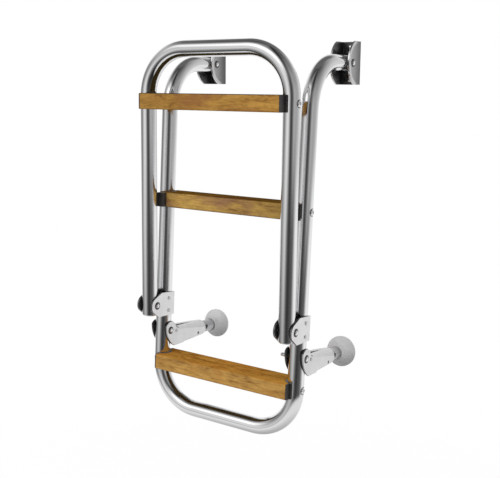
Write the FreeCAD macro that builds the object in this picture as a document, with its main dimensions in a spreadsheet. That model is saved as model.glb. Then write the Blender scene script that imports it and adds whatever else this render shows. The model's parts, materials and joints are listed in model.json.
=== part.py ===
import FreeCAD, Part
import math
import os
import Sketcher

# Folding transom boarding ladder with three wooden steps
# Millimetres, Z up, X across the ladder, Y towards the hull
# The origin is the middle of the flat hull face of the left bracket

os.makedirs("parts", exist_ok=True)
doc = FreeCAD.newDocument("boarding_ladder")
V = FreeCAD.Vector
ROT_X = FreeCAD.Rotation(V(1, 0, 0), 90)
ALONG_X = FreeCAD.Rotation(V(0, 1, 0), 90)
SEAM_AWAY = FreeCAD.Rotation(V(0, 0, 1), 50)
SIDE_ON = FreeCAD.Rotation(V(0, 1, 0), V(0, 0, 1), V(1, 0, 0), "XYZ")
FLAT = FreeCAD.Rotation()

# Driving dimensions
dims = doc.addObject("Spreadsheet::Sheet", "dims")
values = [
    ("rail_gap", "250", "centre to centre of the side tubes"),
    ("tube_rad", "12.7", "outer radius of the rear tube"),
    ("leg_rad", "12.4", "outer radius of the front tube"),
    ("wall", "1.5", "tube wall"),
    ("lean", "3.9", "lean of the rear rails, degrees"),
    ("leg_lean", "0.7", "lean of the folded front legs, degrees"),
    ("hook_rad", "75", "centre line radius of the hook bends"),
    ("hook_len", "120.5", "corner of rail line and hook line to the open tube end"),
    ("hook_gap", "16", "hull face to the open tube end"),
    ("bolt_back", "14", "open tube end to the bracket bolt"),
    ("bow_rad", "69", "centre line radius of the lower and upper corners"),
    ("bow_fall", "72", "bottom step down to the centre of the lower bow"),
    ("mid_z", "216", "corner to the middle step"),
    ("low_fall", "49", "arm pivot down to the bottom step"),
    ("pivot_y", "37.5", "rail centre to the fold pivot"),
    ("pivot_z", "386.5", "corner to the fold pivot"),
    ("bar_z", "402", "fold pivot to the top bar"),
    ("leg_end", "15", "fold pivot to the end of the leg tube"),
    ("plug_dome", "3.5", "height of the bevelled end of a leg plug"),
    ("plug_shoulder", "1.4", "height of the steeper part of that bevel"),
    ("plug_inset", "1.05", "leg tube wall to the end of the steeper part"),
    ("plug_flat", "6.2", "radius of the flat middle of the end"),
    ("plug_len", "9", "part of a leg plug that sits in the tube"),
    ("top_z", "324.5", "fold pivot to the top step"),
    ("step_h", "24", "step thickness"),
    ("step_end", "4.5", "rail centre to the end grain of a step"),
    ("step_round", "2.2", "rounding of the long step edges"),
    ("step_front", "24.2", "rail centre to the front of the lower steps"),
    ("step_back", "24.2", "rail centre to the back of the steps"),
    ("top_front", "27.5", "leg centre to the front of the top step"),
    ("saddle_t", "2.8", "wall of an end cap where it wraps the tube"),
    ("cap_t", "1.5", "thickness of an end cap on the end grain"),
    ("buffer_in", "3", "rail centre to the near side of a buffer"),
    ("buffer_w", "13.5", "width of a buffer"),
    ("buffer_t", "9.2", "thickness of a buffer"),
    ("buffer_h", "22", "height of a buffer"),
    ("buffer_round", "2.5", "rounding of the front edges of a buffer"),
    ("bolt_rad", "2.5", "radius of the step bolts"),
    ("bolt_in", "34", "rail centre to the tip of a step bolt"),
    ("bolt_head", "5", "radius of the head of a step bolt"),
    ("seat_rad", "6.2", "radius of the dimple under a step bolt"),
    ("seat_deep", "0.9", "depth of the dimple under a step bolt"),
    ("plate_t", "2.5", "hinge plate thickness"),
    ("plate_back", "7", "rail centre to the rear edge of a hinge plate"),
    ("plate_nose", "13.5", "rounding of a hinge plate round the fold pivot"),
    ("plate_rise", "19.5", "fold pivot up to the front end of the top edge"),
    ("plate_fall", "20.5", "fold pivot down to the bottom edge of a hinge plate"),
    ("plate_slope", "2.5", "fall of the top edge towards the rear"),
    ("plate_skew", "1", "rise of the bottom edge towards the front"),
    ("nose_top", "26", "rounding of a hinge plate ends this far from upright, degrees"),
    ("nose_low", "42", "rounding of a hinge plate ends this far below level, degrees"),
    ("plate_flat", "26.5", "rail centre to the front end of the top edge"),
    ("plate_foot", "33", "rail centre to the front end of the bottom edge"),
    ("pin_rad", "4", "radius of the pivot bolts"),
    ("pin_gap", "0.05", "running clearance of the pivot bolts"),
    ("pin_head", "5.9", "radius of the pivot bolt heads"),
    ("head_h", "2.6", "height of the bolt heads"),
    ("head_bevel", "1.4", "bevel of the bolt heads"),
    ("rivet_rad", "2.2", "radius of the rivets"),
    ("rivet_head", "3", "radius of the rivet heads"),
    ("rivet_h", "0.6", "height of the rivet heads"),
    ("rivet_y", "7", "rail centre to the hinge plate rivets"),
    ("rivet_up", "8", "fold pivot up to the upper rivet"),
    ("rivet_down", "12.5", "fold pivot down to the lower rivet"),
    ("ear_in", "13.5", "bracket centre to the inside of an ear"),
    ("ear_t", "2.8", "bracket plate thickness"),
    ("ear_half", "33", "half the height of a bracket"),
    ("ear_base", "9", "hull face to the centre of the curved ear edge"),
    ("ear_bulge", "3", "radius of the curved ear edge less half the height"),
    ("ear_bend", "3.4", "outer bend radius of a bracket"),
    ("screw_in", "10", "end of a bracket to a fixing hole"),
    ("screw_rad", "3.3", "radius of a fixing hole"),
    ("arm_fall", "47.5", "fold pivot down to the arm pivot"),
    ("left_tilt", "6.8", "left arm below level, degrees"),
    ("right_tilt", "8.8", "right arm below level, degrees"),
    ("fork_in", "13.2", "arm centre to the inside of a fork cheek"),
    ("fork_t", "2.4", "thickness of a fork cheek"),
    ("lobe_rad", "14.5", "rounding of a cheek over the arm pivot"),
    ("lobe_rear", "18", "rear end of that rounding above level, degrees"),
    ("lobe_front", "34", "front end of that rounding above level, degrees"),
    ("cheek_rad", "42", "radius of the front edge of a cheek"),
    ("cheek_toe", "12.5", "arm pivot to the lower corner of a cheek"),
    ("slot_end", "26", "arm pivot to the closed end of the fork slot"),
    ("arm_drop", "12.7", "arm pivot down to the axis of the stem"),
    ("arm_half", "14.6", "half the height of the arm at the fork"),
    ("arm_start", "13", "arm pivot to the start of the tapered body"),
    ("arm_end", "107", "arm pivot to the end of the tapered body"),
    ("arm_corner", "20", "radius across the rounded corners at the fork"),
    ("nose_rad", "13", "radius of the body at its far end"),
    ("hollow_end", "64", "arm pivot to the end of the hollow in the body"),
    ("notch_half", "5.5", "half the width of the open notch at the fork"),
    ("notch_end", "82", "arm pivot to the tip of the open notch"),
    ("stop_rad", "2", "radius of the stop pin"),
    ("stop_y", "16.6", "arm pivot to the stop pin"),
    ("stop_drop", "2.6", "arm pivot down to the stop pin"),
    ("lock_rad", "1.6", "radius of the locking hole in the arm"),
    ("lock_y", "84", "arm pivot to the locking hole"),
    ("lock_drop", "5", "stem axis down to the locking hole"),
    ("stem_rad", "10.2", "radius of the sliding stem"),
    ("stem_end", "153.5", "arm pivot to the end of the stem"),
    ("eye_rad", "2.4", "radius of the locking hole in the stem"),
    ("eye_y", "114", "arm pivot to the locking hole in the stem"),
    ("hub_rad", "12", "radius of the hub of a hull pad"),
    ("hub_len", "14", "length of the hub of a hull pad"),
    ("pad_rad", "25", "radius of a hull pad"),
    ("pad_rim", "2.6", "thickness of the rim of a hull pad"),
    ("pad_deep", "9", "depth of the flare of a hull pad"),
    ("pad_sweep", "16", "radius of the flared back of a hull pad"),
    ("pad_face", "163", "arm pivot to the hull face of a pad"),
]
for i, item in enumerate(values):
    row = str(i + 1)
    dims.set("A" + row, item[0])
    dims.set("B" + row, item[1])
    dims.set("C" + row, item[2])
    dims.setAlias("B" + row, item[0])
doc.recompute()

count = [0]
nodes = []


def bind(obj, **exprs):
    for key, text in exprs.items():
        obj.setExpression(key.replace("__", "."), text)


def place(obj, x="0", y="0", z="0", rot=FLAT):
    obj.Placement = FreeCAD.Placement(V(0, 0, 0), rot)
    bind(obj, Placement__Base__x=x, Placement__Base__y=y, Placement__Base__z=z)
    return obj


def new(kind, hint):
    count[0] += 1
    return doc.addObject(kind, hint + "_" + str(count[0]))


def cyl(rad, height, x="0", y="0", z="0", rot=FLAT, sweep="360"):
    obj = new("Part::Cylinder", "rod")
    bind(obj, Radius=rad, Height=height, Angle=sweep)
    return place(obj, x, y, z, rot)


def box(lx, ly, lz, x="0", y="0", z="0"):
    obj = new("Part::Box", "block")
    bind(obj, Length=lx, Width=ly, Height=lz)
    return place(obj, x, y, z)


def bend(big, small, sweep, x, y, z, rot):
    obj = new("Part::Torus", "bend")
    bind(obj, Radius1=big, Radius2=small, Angle3=sweep)
    return place(obj, x, y, z, rot)


def fuse(parts):
    if len(parts) == 1:
        return parts[0]
    obj = new("Part::MultiFuse", "sum")
    obj.Shapes = parts
    return obj


def common(parts):
    obj = new("Part::MultiCommon", "meet")
    obj.Shapes = parts
    return obj


def cut(base, tools):
    obj = new("Part::Cut", "rest")
    obj.Base = base
    obj.Tool = fuse(tools)
    return obj


# A closed outline; a corner with a radius starts an arc, positive to the left
def profile(corners, x="0", y="0", z="0", rot=FLAT):
    sk = new("Sketcher::SketchObject", "profile")
    total = len(corners)
    spots = []
    for corner in corners:
        across = float(sk.evalExpression(corner[0]))
        along = float(sk.evalExpression(corner[1]))
        spots.append(V(across, along, 0))
    starts = []
    for k, corner in enumerate(corners):
        a = spots[k]
        b = spots[(k + 1) % total]
        if len(corner) == 2:
            sk.addGeometry(Part.LineSegment(a, b), False)
            starts.append(1)
            continue
        side = corner[3]
        rad = float(sk.evalExpression(corner[2]))
        half = (b - a) * 0.5
        rise = math.sqrt(rad * rad - half.Length * half.Length)
        normal = V(-half.y, half.x, 0).normalize()
        centre = a + half + normal * (rise * side)
        circle = Part.Circle(centre, V(0, 0, 1), rad)
        first = a if side > 0 else b
        last = b if side > 0 else a
        from_angle = math.atan2(first.y - centre.y, first.x - centre.x)
        to_angle = math.atan2(last.y - centre.y, last.x - centre.x)
        sk.addGeometry(Part.ArcOfCircle(circle, from_angle, to_angle), False)
        starts.append(1 if side > 0 else 2)
    for k in range(total):
        after = (k + 1) % total
        sk.addConstraint(Sketcher.Constraint("Coincident", k, 3 - starts[k], after, starts[after]))
    for k, corner in enumerate(corners):
        c = sk.addConstraint(Sketcher.Constraint("DistanceX", -1, 1, k, starts[k], spots[k].x))
        sk.setExpression("Constraints[" + str(c) + "]", corner[0])
        c = sk.addConstraint(Sketcher.Constraint("DistanceY", -1, 1, k, starts[k], spots[k].y))
        sk.setExpression("Constraints[" + str(c) + "]", corner[1])
        if len(corner) > 2:
            c = sk.addConstraint(Sketcher.Constraint("Radius", k, float(sk.evalExpression(corner[2]))))
            sk.setExpression("Constraints[" + str(c) + "]", corner[2])
    return place(sk, x, y, z, rot)


def extrude(sk, depth):
    obj = new("Part::Extrusion", "plate")
    obj.Base = sk
    obj.DirMode = "Normal"
    obj.Solid = True
    bind(obj, LengthFwd=depth)
    return obj


def turn(sk, axis, x="0", y="0", z="0"):
    obj = new("Part::Revolution", "turned")
    obj.Source = sk
    obj.Axis = axis
    obj.Solid = True
    bind(obj, Base__x=x, Base__y=y, Base__z=z)
    return obj


# Rounded rectangle about a centre, half sizes and corner radius given
def rounded(half_x, half_y, rad, x="0", y="0"):
    left = f"{x} - ({half_x})"
    right = f"{x} + ({half_x})"
    low = f"{y} - ({half_y})"
    high = f"{y} + ({half_y})"
    return [
        (right, f"{low} + {rad}"),
        (right, f"{high} - {rad}", rad, 1),
        (f"{right} - {rad}", high),
        (f"{left} + {rad}", high, rad, 1),
        (left, f"{high} - {rad}"),
        (left, f"{low} + {rad}", rad, 1),
        (f"{left} + {rad}", low),
        (f"{right} - {rad}", low, rad, 1),
    ]


def finish(obj, label):
    obj.Label = label
    nodes.append(obj)
    return obj


# Frames that carry the leaning pieces
CORNER = "(dims.hook_len + dims.hook_gap)"
ARM_Z = "(dims.pivot_z + dims.arm_fall)"
LOW_Z = "(dims.pivot_z + dims.arm_fall + dims.low_fall)"
BOW_Z = "(dims.pivot_z + dims.arm_fall + dims.low_fall + dims.bow_fall)"
BOLT_Y = "(dims.hook_gap + dims.bolt_back)"


def lean_by(obj, angle, x, y, z):
    obj.Placement = FreeCAD.Placement(V(0, 0, 0), FreeCAD.Rotation(V(-1, 0, 0), 5))
    bind(obj, Placement__Rotation__Angle=angle)
    bind(obj, Placement__Base__x=x, Placement__Base__y=y, Placement__Base__z=z)
    return obj


def on_upper(obj):
    return lean_by(obj, "dims.lean", "0", f"-{CORNER}", "0")


def on_lower(obj):
    y = f"-{CORNER} - dims.pivot_y * cos(dims.lean) - dims.pivot_z * sin(dims.lean)"
    z = "dims.pivot_y * sin(dims.lean) - dims.pivot_z * cos(dims.lean)"
    return lean_by(obj, "dims.leg_lean", "0", y, z)


def on_arm(obj, x, tilt):
    y = f"-{CORNER} - {ARM_Z} * sin(dims.lean)"
    z = f"-{ARM_Z} * cos(dims.lean)"
    return lean_by(obj, tilt, x, y, z)


SIDES = [("left", "0", 1, "dims.left_tilt"), ("right", "dims.rail_gap", -1, "dims.right_tilt")]

# Rear tube: two hooks, two rails and the lower bow
TAN = "dims.hook_rad * tan((90 - dims.lean) / 2)"
HOOK_ROT = FreeCAD.Rotation(V(0, -1, 0), V(0, 0, 1), V(-1, 0, 0), "XYZ")
TURN_0 = ROT_X
TURN_90 = FreeCAD.Rotation(V(0, 1, 0), 90).multiply(ROT_X)
TURN_180 = FreeCAD.Rotation(V(0, 1, 0), 180).multiply(ROT_X)
TURN_270 = FreeCAD.Rotation(V(0, 1, 0), -90).multiply(ROT_X)


def rear_run(rad):
    out = []
    low = f"dims.bow_rad - {BOW_Z}"
    for side, x, inward, tilt in SIDES:
        rod = cyl(rad, "dims.hook_len - " + TAN)
        out.append(lean_by(rod, "90 - dims.lean", x, TAN + " * cos(dims.lean)", TAN + " * sin(dims.lean)"))
        out.append(bend("dims.hook_rad", rad, "90 - dims.lean", x, "dims.hook_rad", "-" + TAN, HOOK_ROT))
        out.append(cyl(rad, f"{BOW_Z} - dims.bow_rad - {TAN}", x, "0", low, SEAM_AWAY))
    out.append(bend("dims.bow_rad", rad, "90", "dims.bow_rad", "0", low, TURN_180))
    out.append(bend("dims.bow_rad", rad, "90", "dims.rail_gap - dims.bow_rad", "0", low, TURN_90))
    out.append(cyl(rad, "dims.rail_gap - 2 * dims.bow_rad", "dims.bow_rad", "0", f"-{BOW_Z}", ALONG_X))
    return out


# Front tube: two legs and the upper bow
def front_run(rad):
    out = []
    top = "dims.bar_z - dims.bow_rad"
    for side, x, inward, tilt in SIDES:
        out.append(cyl(rad, top + " + dims.leg_end", x, "0", "-dims.leg_end", SEAM_AWAY))
    out.append(bend("dims.bow_rad", rad, "90", "dims.bow_rad", "0", top, TURN_270))
    out.append(bend("dims.bow_rad", rad, "90", "dims.rail_gap - dims.bow_rad", "0", top, TURN_0))
    out.append(cyl(rad, "dims.rail_gap - 2 * dims.bow_rad", "dims.bow_rad", "0", "dims.bar_z", ALONG_X))
    return out


def through_holes(rad, y, z):
    return cyl(rad, "dims.rail_gap + 4 * dims.tube_rad", "-2 * dims.tube_rad", y, z, ALONG_X)


# Holes and flat dimples for the step bolts, in the outer side of both rails
def step_bolt_cuts(tube, z):
    out = []
    for side, x, inward, tilt in SIDES:
        seat = f"{x} - {inward} * ({tube} - dims.seat_deep)"
        outward = TO_LEFT if inward > 0 else ALONG_X
        out.append(cyl("dims.seat_rad", tube, seat, "0", z, outward))
        out.append(cyl("dims.bolt_rad", f"2 * {tube}", f"{x} - {tube}", "0", z, ALONG_X))
    return out


TO_LEFT = FreeCAD.Rotation(V(0, 1, 0), -90)
HOOK_BOLT_Y = "(dims.hook_len - dims.bolt_back) * cos(dims.lean)"
HOOK_BOLT_Z = "(dims.hook_len - dims.bolt_back) * sin(dims.lean)"
RIVETS = [
    ("upper", "-dims.rivet_y", "dims.rivet_up - dims.pivot_z"),
    ("lower", "-dims.rivet_y", "-dims.rivet_down - dims.pivot_z"),
]
RUNNING = "dims.pin_rad + dims.pin_gap"

skin = fuse(rear_run("dims.tube_rad"))
rear_cuts = [fuse(rear_run("dims.tube_rad - dims.wall"))]
rear_cuts.append(through_holes(RUNNING, HOOK_BOLT_Y, HOOK_BOLT_Z))
rear_cuts.append(through_holes("dims.pin_rad", "0", f"-{ARM_Z}"))
for name, y, z in RIVETS:
    rear_cuts.append(through_holes("dims.rivet_rad", y, z))
for z in ("-dims.mid_z", f"-{LOW_Z}"):
    rear_cuts += step_bolt_cuts("dims.tube_rad", z)
rear = skin
for tool in rear_cuts:
    rear = cut(rear, [tool])
finish(on_upper(rear), "rear_tube")

leg_skin = fuse(front_run("dims.leg_rad"))
front_cuts = [fuse(front_run("dims.leg_rad - dims.wall")), through_holes(RUNNING, "0", "0")]
front_cuts += step_bolt_cuts("dims.leg_rad", "dims.top_z")
front = leg_skin
for tool in front_cuts:
    front = cut(front, [tool])
finish(on_lower(front), "front_tube")

# Plugs with a bevelled end, turned to fit the leg ends
for side, x, inward, tilt in SIDES:
    half_shape = [
        ("0", "-dims.leg_end - dims.plug_dome"),
        ("dims.plug_flat", "-dims.leg_end - dims.plug_dome"),
        ("dims.leg_rad - dims.plug_inset", "-dims.leg_end - dims.plug_shoulder"),
        ("dims.leg_rad", "-dims.leg_end"),
        ("dims.leg_rad - dims.wall", "-dims.leg_end"),
        ("dims.leg_rad - dims.wall", "dims.plug_len - dims.leg_end"),
        ("0", "dims.plug_len - dims.leg_end"),
    ]
    plug = turn(profile(half_shape, x, rot=ROT_X), V(0, 0, 1), x)
    finish(on_lower(plug), side + "_leg_plug")


# Wooden steps, notched round the tubes, between black caps that wrap the tubes
def step_shape(front_y, z, start, length):
    middle = f"(dims.step_back - {front_y}) / 2"
    half = f"(dims.step_back + {front_y}) / 2"
    sk = profile(rounded(half, "dims.step_h / 2", "dims.step_round", middle, z), start, rot=SIDE_ON)
    return extrude(sk, length)


def step_bolt_hole(x, inward, z):
    start = x if inward > 0 else f"{x} - dims.bolt_in"
    return cyl("dims.bolt_rad", "dims.bolt_in", start, "0", z, ALONG_X)


def step(front_y, z, tube):
    wood = step_shape(front_y, z, "dims.step_end", "dims.rail_gap - 2 * dims.step_end")
    bites = []
    for side, x, inward, tilt in SIDES:
        bites.append(cyl(tube + " + dims.saddle_t", "2 * dims.step_h", x, "0", z + " - dims.step_h"))
        bites.append(step_bolt_hole(x, inward, z))
    return cut(wood, bites)


def end_cap(x, inward, front_y, z, tube, core):
    start = f"{x} + {inward} * dims.step_end"
    if inward > 0:
        start = start + " - dims.cap_t"
    face = step_shape(front_y, z, start, "dims.cap_t")
    turned = FreeCAD.Rotation(V(0, 0, 1), -90 * inward)
    wrap = cyl(tube + " + dims.saddle_t", "dims.step_h", x, "0", z + " - dims.step_h / 2", turned, "180")
    return cut(cut(fuse([face, wrap]), [core]), [step_bolt_hole(x, inward, z)])


LEVELS = [
    ("top", "dims.top_front", "dims.top_z", "dims.leg_rad", leg_skin, on_lower),
    ("middle", "dims.step_front", "-dims.mid_z", "dims.tube_rad", skin, on_upper),
    ("bottom", "dims.step_front", f"-{LOW_Z}", "dims.tube_rad", skin, on_upper),
]
for name, front_y, z, tube, core, frame in LEVELS:
    finish(frame(step(front_y, z, tube)), name + "_step")
    for side, x, inward, tilt in SIDES:
        finish(frame(end_cap(x, inward, front_y, z, tube, core)), name + "_" + side + "_saddle")


# Turned bolts along X, with a bevelled head at the end or at both ends
def head_side(sign, seat, head):
    return [
        (f"{sign} * ({seat} + dims.head_h)", "0"),
        (f"{sign} * ({seat} + dims.head_h)", f"{head} - dims.head_bevel"),
        (f"{sign} * ({seat} + dims.head_h - dims.head_bevel)", head),
        (f"{sign} * ({seat})", head),
    ]


def through_bolt(x, y, z, rad, reach, head):
    near = head_side("-1", reach, head)
    far = head_side("1", reach, head)
    far.reverse()
    half_shape = near + [(f"-({reach})", rad), (reach, rad)] + far
    return turn(profile(half_shape, x, y, z), V(1, 0, 0), x, y, z)


def step_bolt(x, inward, z, tube):
    half_shape = head_side(f"{-inward}", f"{tube} - dims.seat_deep", "dims.bolt_head")
    half_shape += [
        (f"-{inward} * ({tube} - dims.seat_deep)", "dims.bolt_rad"),
        (f"{inward} * dims.bolt_in", "dims.bolt_rad"),
        (f"{inward} * dims.bolt_in", "0"),
    ]
    return turn(profile(half_shape, x, "0", z), V(1, 0, 0), x, "0", z)


def rivet(x, y, z, rad, head, reach):
    shank = cyl(rad, f"2 * ({reach})", f"{x} - ({reach})", y, z, ALONG_X)
    near = cyl(head, "dims.rivet_h", f"{x} + {reach}", y, z, ALONG_X)
    far = cyl(head, "dims.rivet_h", f"{x} - ({reach}) - dims.rivet_h", y, z, ALONG_X)
    return fuse([shank, near, far])


REACH_PLATE = "(dims.tube_rad + dims.plate_t)"
REACH_FORK = "(dims.fork_in + dims.fork_t)"
REACH_EAR = "(dims.ear_in + dims.ear_t)"
for name, front_y, z, tube, core, frame in LEVELS:
    for side, x, inward, tilt in SIDES:
        finish(frame(step_bolt(x, inward, z, tube)), name + "_" + side + "_bolt")

# Buffers on the middle step that the folded legs rest on
for side, x, inward, tilt in SIDES:
    middle_x = f"{x} + {inward} * (dims.buffer_in + dims.buffer_w / 2)"
    block = profile(
        [
            ("-dims.buffer_w / 2", "-dims.step_front"),
            ("-dims.buffer_w / 2", "dims.buffer_round - dims.step_front - dims.buffer_t", "dims.buffer_round", 1),
            ("dims.buffer_round - dims.buffer_w / 2", "-dims.step_front - dims.buffer_t"),
            ("dims.buffer_w / 2 - dims.buffer_round", "-dims.step_front - dims.buffer_t", "dims.buffer_round", 1),
            ("dims.buffer_w / 2", "dims.buffer_round - dims.step_front - dims.buffer_t"),
            ("dims.buffer_w / 2", "-dims.step_front"),
        ],
        middle_x,
        "0",
        "-dims.mid_z - dims.buffer_h / 2",
    )
    finish(on_upper(extrude(block, "dims.buffer_h")), side + "_spacer")

# Hinge plates each side of the rail and the leg, rounded about the fold pivot
PLATE_TOP = "dims.plate_rise - dims.pivot_z"
PLATE_LOW = "-dims.plate_fall - dims.pivot_z"
NOSE_Y = "-dims.pivot_y - dims.plate_nose"
PLATE = [
    ("dims.plate_back", PLATE_LOW),
    ("dims.plate_back", f"{PLATE_TOP} - dims.plate_slope"),
    ("-dims.plate_flat", PLATE_TOP),
    (NOSE_Y + " * sin(dims.nose_top)", "dims.plate_nose * cos(dims.nose_top) - dims.pivot_z", "dims.plate_nose", 1),
    (NOSE_Y + " * cos(dims.nose_low)", "-dims.pivot_z - dims.plate_nose * sin(dims.nose_low)"),
    ("-dims.plate_foot", f"{PLATE_LOW} + dims.plate_skew"),
]
for side, x, inward, tilt in SIDES:
    for which, outward in (("outer", -inward), ("inner", inward)):
        start = f"{x} + dims.tube_rad" if outward > 0 else f"{x} - dims.tube_rad - dims.plate_t"
        flat = extrude(profile(PLATE, start, rot=SIDE_ON), "dims.plate_t")
        holes = [through_holes("dims.pin_rad", "-dims.pivot_y", "-dims.pivot_z")]
        for name, y, z in RIVETS:
            holes.append(through_holes("dims.rivet_rad", y, z))
        finish(on_upper(cut(flat, holes)), side + "_" + which + "_plate")
    pin = through_bolt(x, "-dims.pivot_y", "-dims.pivot_z", "dims.pin_rad", REACH_PLATE, "dims.pin_head")
    finish(on_upper(pin), side + "_fold_bolt")
    for name, y, z in RIVETS:
        pin = rivet(x, y, z, "dims.rivet_rad", "dims.rivet_head", REACH_PLATE)
        finish(on_upper(pin), side + "_" + name + "_rivet")
    pin = through_bolt(x, "0", f"-{ARM_Z}", "dims.pin_rad", REACH_FORK, "dims.pin_head")
    finish(on_upper(pin), side + "_arm_bolt")

# Folded brackets on the hull, with curved ears and their cross bolts
OUT_X = "(dims.ear_in + dims.ear_t)"
EAR_DISC = "(dims.ear_half + dims.ear_bulge)"
DEEP = f"(dims.ear_base + {EAR_DISC})"
CHANNEL = [
    (f"{OUT_X} - dims.ear_bend", "0"),
    (f"dims.ear_bend - {OUT_X}", "0", "dims.ear_bend", 1),
    (f"-{OUT_X}", "-dims.ear_bend"),
    (f"-{OUT_X}", f"-{DEEP}"),
    ("-dims.ear_in", f"-{DEEP}"),
    ("-dims.ear_in", "-dims.ear_t"),
    ("dims.ear_in", "-dims.ear_t"),
    ("dims.ear_in", f"-{DEEP}"),
    (OUT_X, f"-{DEEP}"),
    (OUT_X, "-dims.ear_bend", "dims.ear_bend", 1),
]
EAR_TOP_Y = f"(dims.ear_base + sqrt({EAR_DISC} * {EAR_DISC} - dims.ear_half * dims.ear_half))"
EAR = [
    ("0", "-dims.ear_half"),
    ("0", "dims.ear_half"),
    (f"-{EAR_TOP_Y}", "dims.ear_half", EAR_DISC, 1),
    (f"-{EAR_TOP_Y}", "-dims.ear_half"),
]
for side, x, inward, tilt in SIDES:
    folded = extrude(profile(CHANNEL, x, "0", "-dims.ear_half"), "2 * dims.ear_half")
    side_view = extrude(profile(EAR, f"{x} - 2 * {OUT_X}", rot=SIDE_ON), f"4 * {OUT_X}")
    holes = []
    for z in ("dims.ear_half - dims.screw_in", "dims.screw_in - dims.ear_half"):
        holes.append(cyl("dims.screw_rad", "4 * dims.ear_t", x, "dims.ear_t", z, ROT_X))
    holes.append(cyl("dims.pin_rad", f"4 * {OUT_X}", f"{x} - 2 * {OUT_X}", f"-{BOLT_Y}", "0", ALONG_X))
    finish(cut(common([folded, side_view]), holes), side + "_bracket")
    pin = through_bolt(x, f"-{BOLT_Y}", "0", "dims.pin_rad", REACH_EAR, "dims.pin_head")
    finish(pin, side + "_bracket_bolt")

# Stand-off arms: a fork that tapers into a round nose, a sliding stem and a hull pad
CHEEK = [
    ("dims.lobe_rad * cos(dims.lobe_rear)", "dims.lobe_rad * sin(dims.lobe_rear)", "dims.lobe_rad", 1),
    ("-dims.lobe_rad * cos(dims.lobe_front)", "dims.lobe_rad * sin(dims.lobe_front)", "dims.cheek_rad", 1),
    ("dims.cheek_toe", "-dims.arm_drop - dims.arm_half"),
    ("dims.slot_end + dims.arm_start", "-dims.arm_drop - dims.nose_rad"),
    ("dims.slot_end + dims.arm_start", "-dims.arm_drop"),
]
WIDE = "dims.fork_in + dims.fork_t"


# A tapered body: flat sides that close to a round end, with rounded corners all along
def taper(start, end, half_x, half_z, corner, nose):
    flats = new("Part::Wedge", "taper")
    bind(flats, Ymin=start, Ymax=end)
    bind(flats, Xmin=f"-({half_x})", Xmax=half_x, Zmin=f"-({half_z})", Zmax=half_z)
    bind(flats, X2min=f"-({nose})", X2max=nose, Z2min=f"-({nose})", Z2max=nose)
    place(flats, "0", "0", "-dims.arm_drop")
    barrel = new("Part::Cone", "barrel")
    bind(barrel, Radius1=nose, Radius2=corner, Height=f"{end} - ({start})")
    place(barrel, "0", end, "-dims.arm_drop", ROT_X)
    return common([flats, barrel])


def along_arm(rad, start, end):
    return cyl(rad, f"{end} - ({start})", "0", end, "-dims.arm_drop", ROT_X)


for side, x, inward, tilt in SIDES:
    cheeks = extrude(profile(CHEEK, f"-({WIDE})", rot=SIDE_ON), f"2 * ({WIDE})")
    body = taper("dims.arm_start", "dims.arm_end", WIDE, "dims.arm_half", "dims.arm_corner", "dims.nose_rad")
    hollow = taper(
        "dims.arm_start - dims.fork_t",
        "dims.hollow_end",
        "dims.fork_in",
        "dims.arm_half - dims.fork_t",
        "dims.arm_corner - dims.fork_t",
        "dims.stem_rad",
    )
    slot = box(
        "2 * dims.fork_in",
        "dims.slot_end + 2 * dims.lobe_rad",
        "4 * dims.arm_half",
        "-dims.fork_in",
        "-2 * dims.lobe_rad",
        "-dims.arm_drop - 2 * dims.arm_half",
    )
    notch = extrude(
        profile(
            [
                ("dims.notch_half", "dims.arm_start"),
                ("0", "dims.notch_end"),
                ("-dims.notch_half", "dims.arm_start"),
            ],
            "0",
            "0",
            "-dims.arm_drop",
        ),
        "2 * dims.arm_half",
    )
    across = f"4 * ({WIDE})"
    pivot_hole = cyl(RUNNING, across, f"-2 * ({WIDE})", "0", "0", ALONG_X)
    stop_hole = cyl("dims.stop_rad", across, f"-2 * ({WIDE})", "dims.stop_y", "-dims.stop_drop", ALONG_X)
    lock_z = "-dims.arm_drop - dims.lock_drop"
    lock_hole = cyl("dims.lock_rad", across, "dims.lock_drop", "dims.lock_y", lock_z, ALONG_X)
    bore = along_arm("dims.stem_rad", "dims.hollow_end - 1", "dims.arm_end + 1")
    tools = [hollow, slot, notch, pivot_hole, stop_hole, lock_hole, bore]
    arm = fuse([cheeks, body])
    for tool in tools:
        arm = cut(arm, [tool])
    finish(on_arm(arm, x, tilt), side + "_arm")
    pin = rivet("0", "dims.stop_y", "-dims.stop_drop", "dims.stop_rad", "dims.rivet_head", REACH_FORK)
    finish(on_arm(pin, x, tilt), side + "_stop_pin")
    eye = cyl("dims.eye_rad", across, f"-2 * ({WIDE})", "dims.eye_y", "-dims.arm_drop", ALONG_X)
    rod = along_arm("dims.stem_rad", "dims.hollow_end", "dims.stem_end")
    core = along_arm("dims.stem_rad - dims.wall", "dims.hollow_end - 1", "dims.stem_end + 1")
    finish(on_arm(cut(rod, [core, eye]), x, tilt), side + "_stem")
    hub_y = "dims.stem_end - dims.hub_len"
    half_shape = [
        ("0", "dims.pad_face"),
        ("0", "dims.stem_end"),
        ("dims.stem_rad", "dims.stem_end"),
        ("dims.stem_rad", hub_y),
        ("dims.hub_rad", hub_y),
        ("dims.hub_rad", "dims.pad_face - dims.pad_rim - dims.pad_deep", "dims.pad_sweep", -1),
        ("dims.pad_rad", "dims.pad_face - dims.pad_rim"),
        ("dims.pad_rad", "dims.pad_face"),
    ]
    pad = turn(profile(half_shape, "0", "0", "-dims.arm_drop"), V(0, 1, 0), "0", "0", "-dims.arm_drop")
    finish(on_arm(pad, x, tilt), side + "_pad")

doc.recompute()

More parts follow.
